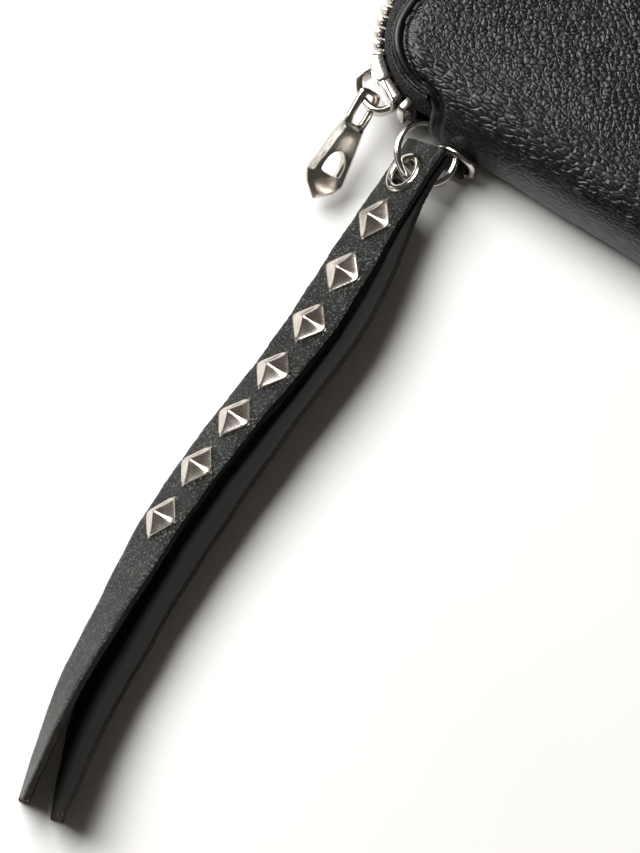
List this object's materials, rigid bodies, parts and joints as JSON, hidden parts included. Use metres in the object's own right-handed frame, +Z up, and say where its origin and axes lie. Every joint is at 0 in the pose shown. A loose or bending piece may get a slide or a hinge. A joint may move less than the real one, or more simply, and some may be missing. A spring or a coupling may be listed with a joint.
{
  "type": "chain wallet",
  "caption": "Long zip-around leather wallet with card slots, bill compartments, a zipped coin pocket, and a studded leather strap hung on a split ring and D-ring.",
  "frame": {"origin": "centre of the lower cover's flat underside, midway along the spine", "axes": "+X along the spine, +Y from the spine towards the zip's long side, +Z up through the closed wallet's thickness"},
  "size_m": [0.2064, 0.2802, 0.025],
  "materials": {
    "cover_leather": "black pebbled, semi-gloss",
    "strap_leather": "black fine grain, waxed, with raw cut edges",
    "lining_leather": "black smooth lining leather",
    "lining_fabric": "black woven lining",
    "zip_tape": "black herringbone woven tape",
    "zip_nickel": "polished nickel",
    "ring_nickel": "polished nickel",
    "stud_nickel": "polished nickel plate"
  },
  "bodies": {
    "root": {"lower_cover": "cover_leather", "spine_lower": "cover_leather", "lower_lining": "lining_fabric", "lower_card_slot_1": "lining_leather", "lower_card_slot_2": "lining_leather", "lower_card_slot_3": "lining_leather", "lower_card_slot_4": "lining_leather", "left_gusset": "lining_leather", "right_gusset": "lining_leather", "lower_zip_tape": "zip_tape", "left_zip_tape_end": "zip_tape", "right_zip_tape_end": "zip_tape", "lower_zip_teeth": "zip_nickel", "left_zip_teeth_end": "zip_nickel", "right_zip_teeth_end": "zip_nickel", "left_end_stop": "zip_nickel", "right_end_stop": "zip_nickel", "ring_tab": "lining_leather"},
    "top_half": {"upper_cover": "cover_leather", "spine_upper": "cover_leather", "upper_lining": "lining_fabric", "upper_card_slot_1": "lining_leather", "upper_card_slot_2": "lining_leather", "upper_card_slot_3": "lining_leather", "upper_card_slot_4": "lining_leather", "upper_zip_tape": "zip_tape", "upper_zip_teeth": "zip_nickel"},
    "coin_pocket": {"coin_front_wall": "lining_leather", "coin_back_wall": "lining_leather", "coin_seam": "lining_leather", "coin_tape_near": "zip_tape", "coin_tape_far": "zip_tape", "coin_teeth_near": "zip_nickel", "coin_teeth_far": "zip_nickel"},
    "coin_slider": {"coin_slider": "zip_nickel", "coin_pull": "zip_nickel"},
    "zip_slider": {"zip_slider": "zip_nickel"},
    "zip_pull": {"zip_pull": "zip_nickel"},
    "d_ring": {"d_ring": "ring_nickel"},
    "split_ring": {"split_ring": "ring_nickel"},
    "strap": {"strap_front": "strap_leather", "strap_back": "strap_leather", "eyelet_barrel": "ring_nickel", "eyelet_washer": "ring_nickel", "stud_1": "stud_nickel", "stud_2": "stud_nickel", "stud_3": "stud_nickel", "stud_4": "stud_nickel", "stud_5": "stud_nickel", "stud_6": "stud_nickel", "stud_7": "stud_nickel"}
  },
  "joints": [
    {"name": "cover_open", "type": "hinge", "parent": "root", "child": "top_half", "pos_m": [0, -0.049, 0.0125], "axis": [1, 0, 0], "range_deg": [0, 50]},
    {"name": "divider_swing", "type": "hinge", "parent": "root", "child": "coin_pocket", "pos_m": [0, -0.049, 0.0125], "axis": [1, 0, 0], "range_deg": [0, 25.5]},
    {"name": "coin_zip_slide", "type": "slide", "parent": "coin_pocket", "child": "coin_slider", "axis": [1, 0, 0], "range_m": [0, 0.13]},
    {"name": "zip_slide", "type": "hinge", "parent": "root", "child": "zip_slider", "pos_m": [-0.081, -0.0265, 0.0125], "axis": [0, 0, 1], "range_deg": [-41, 0]},
    {"name": "zip_pull_swing", "type": "hinge", "parent": "zip_slider", "child": "zip_pull", "pos_m": [-0.09488, -0.05053, 0.0125], "axis": [-0.866, 0.5, 0], "range_deg": [-4, 75]},
    {"name": "d_ring_swing", "type": "hinge", "parent": "root", "child": "d_ring", "pos_m": [-0.07, -0.0496, 0.0032], "axis": [1, 0, 0], "range_deg": [-2, 45]},
    {"name": "split_ring_swing", "type": "hinge", "parent": "d_ring", "child": "split_ring", "pos_m": [-0.0701, -0.0496, 0.007], "axis": [1, 0, 0], "range_deg": [-6, 10]},
    {"name": "strap_swing", "type": "hinge", "parent": "split_ring", "child": "strap", "pos_m": [-0.076, -0.0597, 0.0096], "axis": [0.9135, 0, -0.4067], "range_deg": [-8, 40]}
  ],
  "couplings": [
    {"joint": "divider_swing", "follows": "cover_open", "ratio": 0.5}
  ]
}
